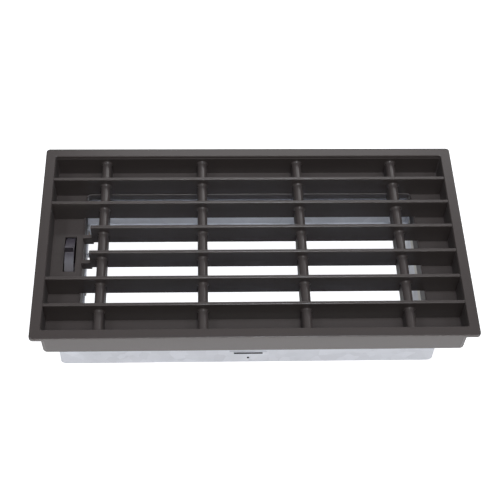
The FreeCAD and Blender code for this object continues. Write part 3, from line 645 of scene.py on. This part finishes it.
class GRILLE_OT_pad_clips(bpy.types.Operator):
    """Adds the clips behind the pressed pads, with a tab in each slot and a pin in each pilot hole. Their
    near-black colour is painted shade that makes the slots read dark
    """
    bl_idname = "grille.pad_clips"
    bl_label = "Pad Clips"

    def execute(self, context):
        clips = context.scene.grille_clips
        finishes = context.scene.grille_finishes
        # Near-black clips: painted shade seen in the slots
        matt = black_nylon("slot_shade_nylon", finishes.slot_shade_colour, roughness=0.7, specular=0.2)
        low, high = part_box("front_plate")
        middle = (low.x + high.x) / 2
        front = self.model_clip(clips, middle, high.y - clips.pad_proud + CLIP_GAP)
        back = copied(front, (2 * middle, 0, 0), math.pi)
        settle(front, "slot_shade_clip_front", matt, "frame")
        settle(back, "slot_shade_clip_back", matt, "frame")
        return {"FINISHED"}

    def model_clip(self, clips, middle, pad):
        """One clip against a pad's inner face: plate, tab and pin with rounded edges, in one piece."""
        half_plate = clips.plate_thickness / 2
        # Tab and pin run from the plate's middle out through the pad
        length = clips.reach + half_plate
        between = pad + (half_plate - clips.reach) / 2
        blocks = (
            ((middle, pad + half_plate, clips.plate_level),
             (clips.plate_length, clips.plate_thickness, clips.plate_height)),
            ((middle, between, clips.tab_level), (clips.tab_length, length, clips.tab_height)),
        )
        parts = []
        for place, size in blocks:
            start_fresh()
            bpy.ops.mesh.primitive_cube_add(size=1, location=place, scale=size)
            parts.append(bpy.context.object)
        start_fresh()
        bpy.ops.mesh.primitive_cylinder_add(
            vertices=PIN_SEGMENTS, radius=clips.pin_radius, depth=length, rotation=(math.pi / 2, 0, 0),
            location=(middle, between, clips.pin_level))
        parts.append(bpy.context.object)
        for part in parts:
            take([part])
            bpy.ops.object.transform_apply(location=True, rotation=True, scale=True)
            rounding = part.modifiers.new("rounding", "BEVEL")
            rounding.width = CLIP_ROUNDING
            rounding.segments = CLIP_ROUNDING_SEGMENTS
            bpy.ops.object.modifier_apply(modifier=rounding.name)
            bpy.ops.object.shade_smooth_by_angle(angle=SMOOTH_ANGLE)
        return joined(parts)


class GRILLE_OT_stage(bpy.types.Operator):
    """Sets up the floor, the lights and the camera"""
    bl_idname = "grille.stage"
    bl_label = "Stage"

    def execute(self, context):
        stage = context.scene.grille_stage
        self.add_floor()
        self.add_lights(stage)
        self.add_world(stage)
        self.add_camera(stage)
        context.scene.view_settings.view_transform = "Standard"
        return {"FINISHED"}

    def add_floor(self):
        """A pale floor that keeps the object's soft shadow and looks white to camera and reflections."""
        start_fresh()
        bpy.ops.mesh.primitive_plane_add(size=FLOOR_SIZE, location=(0, 0, 0))
        floor = bpy.context.object
        floor.name = "floor"
        material, tree = new_material("floor_white")
        rays = add_node(tree, "ShaderNodeLightPath")
        seen = add_node(tree, "ShaderNodeMath", {"operation": "MAXIMUM"},
                        {0: rays.outputs["Is Camera Ray"], 1: rays.outputs["Is Glossy Ray"]})
        seen = add_node(tree, "ShaderNodeMath", {"operation": "MAXIMUM"},
                        {0: seen.outputs[0], 1: rays.outputs["Is Transmission Ray"]})
        matt = add_node(tree, "ShaderNodeBsdfDiffuse", {"Color": shaded(WHITE, FLOOR_GREY)})
        glow = add_node(tree, "ShaderNodeEmission", {"Color": opaque(WHITE), "Strength": FLOOR_GLOW})
        lit = add_node(tree, "ShaderNodeAddShader", {}, {0: matt.outputs[0], 1: glow.outputs[0]})
        either = add_node(tree, "ShaderNodeMixShader", {},
                          {0: seen.outputs[0], 1: matt.outputs[0], 2: lit.outputs[0]})
        finish_material(tree, either)
        floor.data.materials.append(material)

    def add_lights(self, stage):
        """A long low light in front, small cool ones high up, and soft ones by the camera and behind."""
        # Name, place, size, power and colour
        lights = (
            ("front_light", (-0.2, -1.5, 0.09), (1.6, 0.16), stage.front_power, WHITE),
            ("top_light", (0.12, -0.03, 1.7), (0.5, 0.22), stage.top_power, stage.cool_tint),
            ("face_light", (0.1, -0.9, 1.5), (0.7, 0.7), stage.face_power, WHITE),
            ("left_light", (-0.9, 0.0, 1.4), (0.3, 0.3), stage.left_power, stage.cool_tint),
            ("right_light", (0.9, 0.0, 1.4), (0.3, 0.3), stage.right_power, stage.cool_tint),
            ("back_light", (0.1, 1.4, 1.2), (0.8, 0.8), stage.back_power, WHITE),
            ("corner_light", (0.85, 1.25, 1.1), (0.6, 0.6), stage.corner_power, WHITE),
        )
        for name, place, size, power, colour in lights:
            bpy.ops.object.light_add(type="AREA", location=place)
            light = bpy.context.object
            light.name = name
            light.data.shape = "RECTANGLE"
            light.data.size, light.data.size_y = size
            light.data.energy = power
            light.data.color = colour
            light.rotation_euler = (Vector(LIGHT_AIM) - Vector(place)).to_track_quat("-Z", "Y").to_euler()

    def add_world(self, stage):
        """Even light from all round, faint on the object and white to the camera."""
        world = bpy.data.worlds.new("studio")
        bpy.context.scene.world = world
        world.use_nodes = True
        tree = world.node_tree
        tree.nodes.clear()
        rays = add_node(tree, "ShaderNodeLightPath")
        strength = add_node(tree, "ShaderNodeMapRange", {TO_MIN: stage.fill, TO_MAX: 1.0},
                            {"Value": rays.outputs["Is Camera Ray"]})
        sky = add_node(tree, "ShaderNodeBackground", {"Color": opaque(WHITE)},
                       {"Strength": strength.outputs[0]})
        add_node(tree, "ShaderNodeOutputWorld", {}, {"Surface": sky.outputs[0]})

    def add_camera(self, stage):
        """The camera, turned by yaw, elevation and roll: back points from the object to it."""
        yaw, elevation, roll = stage.camera_yaw, stage.camera_elevation, stage.camera_roll
        back = Vector((math.sin(yaw) * math.cos(elevation), -math.cos(yaw) * math.cos(elevation),
                       math.sin(elevation)))
        level = Vector((math.cos(yaw), math.sin(yaw), 0))
        upward = back.cross(level)
        right = math.cos(roll) * level + math.sin(roll) * upward
        up = math.cos(roll) * upward - math.sin(roll) * level
        bpy.ops.object.camera_add()
        camera = bpy.context.object
        camera.name = "camera"
        camera.data.lens = stage.lens
        camera.data.sensor_width = SENSOR_WIDTH
        camera.data.sensor_fit = "HORIZONTAL"
        camera.data.clip_start = NEAR_CLIP
        turn = Matrix((right, up, back)).transposed()
        camera.matrix_world = Matrix.Translation(stage.camera_place) @ turn.to_4x4()
        bpy.context.scene.camera = camera


class GRILLE_PT_panel(bpy.types.Panel):
    """Lists the grille's settings and operators"""
    bl_label = "Ceiling Grille"
    bl_idname = "GRILLE_PT_panel"
    bl_space_type = "VIEW_3D"
    bl_region_type = "UI"
    bl_category = "Grille"

    def draw(self, context):
        layout = self.layout
        scene = context.scene
        for group in (scene.grille_finishes, scene.grille_lattice, scene.grille_clips, scene.grille_stage):
            column = layout.column()
            for name in group.__annotations__:
                column.prop(group, name)
        for operator in OPERATORS:
            layout.operator(operator.bl_idname)


GROUPS = (GrilleFinishes, GrilleLattice, GrilleClips, GrilleStage)
OPERATORS = (GRILLE_OT_finish_moulding, GRILLE_OT_bar_joints, GRILLE_OT_lip_bead, GRILLE_OT_finish_damper,
             GRILLE_OT_finish_wheel, GRILLE_OT_pad_clips, GRILLE_OT_stage)
CLASSES = GROUPS + OPERATORS + (GRILLE_PT_panel,)


def register():
    for entry in CLASSES:
        bpy.utils.register_class(entry)
    bpy.types.Scene.grille_finishes = PointerProperty(type=GrilleFinishes)
    bpy.types.Scene.grille_lattice = PointerProperty(type=GrilleLattice)
    bpy.types.Scene.grille_clips = PointerProperty(type=GrilleClips)
    bpy.types.Scene.grille_stage = PointerProperty(type=GrilleStage)


def unregister():
    del bpy.types.Scene.grille_stage
    del bpy.types.Scene.grille_clips
    del bpy.types.Scene.grille_lattice
    del bpy.types.Scene.grille_finishes
    for entry in reversed(CLASSES):
        bpy.utils.unregister_class(entry)


def main():
    register()
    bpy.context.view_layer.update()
    bpy.ops.grille.finish_moulding()
    bpy.ops.grille.bar_joints()
    bpy.ops.grille.lip_bead()
    bpy.ops.grille.finish_damper()
    bpy.ops.grille.finish_wheel()
    bpy.ops.grille.pad_clips()
    bpy.ops.grille.stage()


if __name__ == "__main__":
    main()
